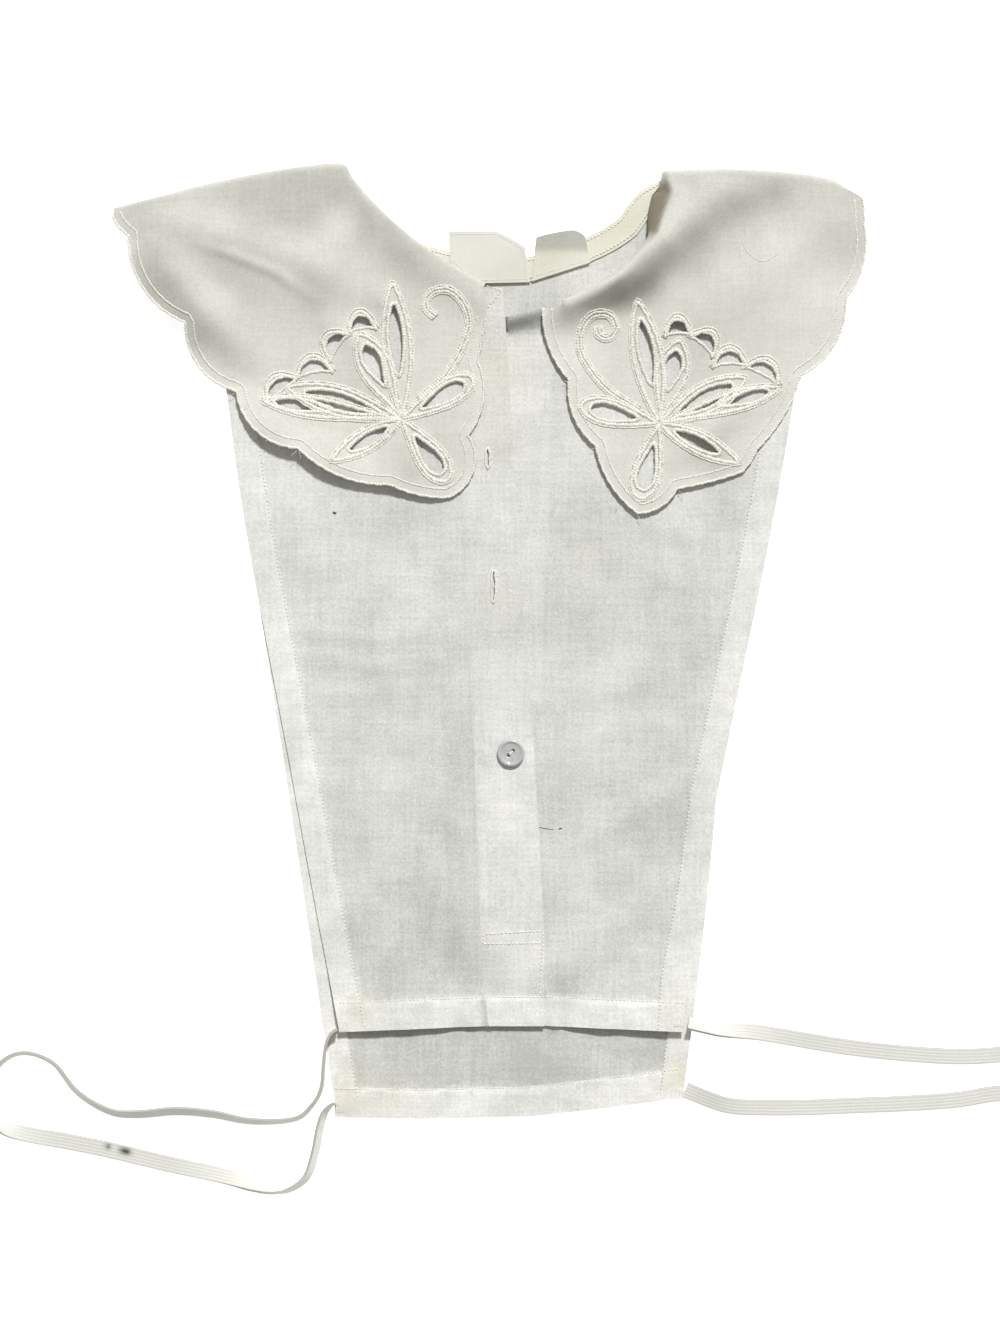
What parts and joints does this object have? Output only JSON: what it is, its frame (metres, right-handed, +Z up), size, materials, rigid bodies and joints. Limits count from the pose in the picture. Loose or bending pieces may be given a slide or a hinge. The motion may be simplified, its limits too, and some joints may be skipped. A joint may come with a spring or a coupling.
{
  "type": "false collar laid flat",
  "caption": "Woven false collar laid flat: short front and back bibs, scalloped cutwork cape collar, buttoned placket and elastic side loops.",
  "frame": {"origin": "on the surface it lies on, under the middle of the cloth's bounding box, the elastic loops left out", "axes": "+Z up from the surface, +Y towards the neck, +X towards the right of someone who looks down at it"},
  "size_m": [0.5089, 0.4629, 0.0134],
  "materials": {
    "lawn": "plain-woven white cotton lawn, slightly sheer, matte",
    "tape": "close-woven cream binding tape, matte",
    "care_tape": "thin grey satin-woven label tape",
    "button": "translucent grey polyester button, polished",
    "elastic": "flat woven white elastic, ribbed, matte"
  },
  "bodies": {
    "root": {"back_panel": "lawn", "front_left": "lawn", "front_right": "lawn", "collar_left": "lawn", "collar_right": "lawn", "neck_binding": "tape", "neck_label": "tape", "care_label": "care_tape", "button": "button", "elastic_left": "elastic", "elastic_right": "elastic"}
  },
  "joints": []
}
